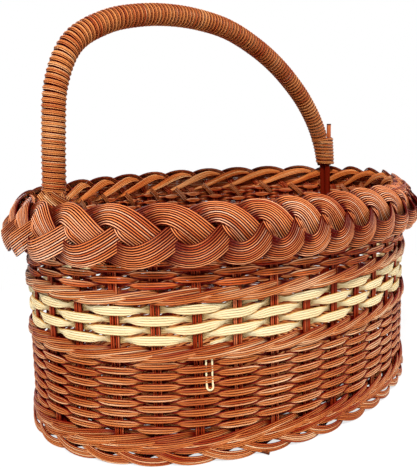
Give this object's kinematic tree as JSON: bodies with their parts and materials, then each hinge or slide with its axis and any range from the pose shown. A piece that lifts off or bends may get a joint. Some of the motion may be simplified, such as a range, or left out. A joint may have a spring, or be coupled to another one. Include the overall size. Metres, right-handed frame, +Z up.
{
  "type": "storage basket",
  "caption": "Oval woven cane storage basket, caramel brown with a cream band, a thick plaited rim and a fixed arch handle wrapped in cane.",
  "frame": {"origin": "middle of the oval footprint, on the surface that the basket stands on", "axes": "+X along the basket under the handle, towards the end with the peg; +Y across the basket; +Z up"},
  "size_m": [0.3191, 0.2351, 0.253],
  "materials": {
    "cane_brown": "varnished, satin",
    "cane_stake": "varnished, satin",
    "cane_plait": "varnished, satin",
    "cane_cream": "satin",
    "cane_base": "varnished, satin"
  },
  "bodies": {
    "root": {"foot_border": "cane_brown", "base_panel": "cane_base", "base_stick_1": "cane_base", "base_stick_2": "cane_base", "base_stick_3": "cane_base", "base_stick_4": "cane_base", "base_stick_5": "cane_base", "stake_01": "cane_stake", "stake_02": "cane_stake", "stake_03": "cane_stake", "stake_04": "cane_stake", "stake_05": "cane_stake", "stake_06": "cane_stake", "stake_07": "cane_stake", "stake_08": "cane_stake", "stake_09": "cane_stake", "stake_10": "cane_stake", "stake_11": "cane_stake", "stake_12": "cane_stake", "stake_13": "cane_stake", "stake_14": "cane_stake", "stake_15": "cane_stake", "stake_16": "cane_stake", "stake_17": "cane_stake", "stake_18": "cane_stake", "stake_19": "cane_stake", "stake_20": "cane_stake", "stake_21": "cane_stake", "stake_22": "cane_stake", "stake_23": "cane_stake", "stake_24": "cane_stake", "stake_25": "cane_stake", "stake_26": "cane_stake", "stake_27": "cane_stake", "stake_28": "cane_stake", "stake_29": "cane_stake", "stake_30": "cane_stake", "stake_31": "cane_stake", "stake_32": "cane_stake", "stake_33": "cane_stake", "stake_34": "cane_stake", "stake_35": "cane_stake", "stake_36": "cane_stake", "stake_37": "cane_stake", "lower_wale": "cane_brown", "lower_weaver": "cane_brown", "middle_wale": "cane_brown", "cream_weaver": "cane_cream", "upper_wale": "cane_brown", "upper_weaver": "cane_brown", "rim_plait": "cane_plait", "handle_rod_front": "cane_stake", "handle_rod_back": "cane_stake", "handle_core_inner": "cane_stake", "handle_core_outer": "cane_stake", "handle_wrap": "cane_plait", "handle_peg": "cane_stake", "cream_tail": "cane_cream"}
  },
  "joints": []
}
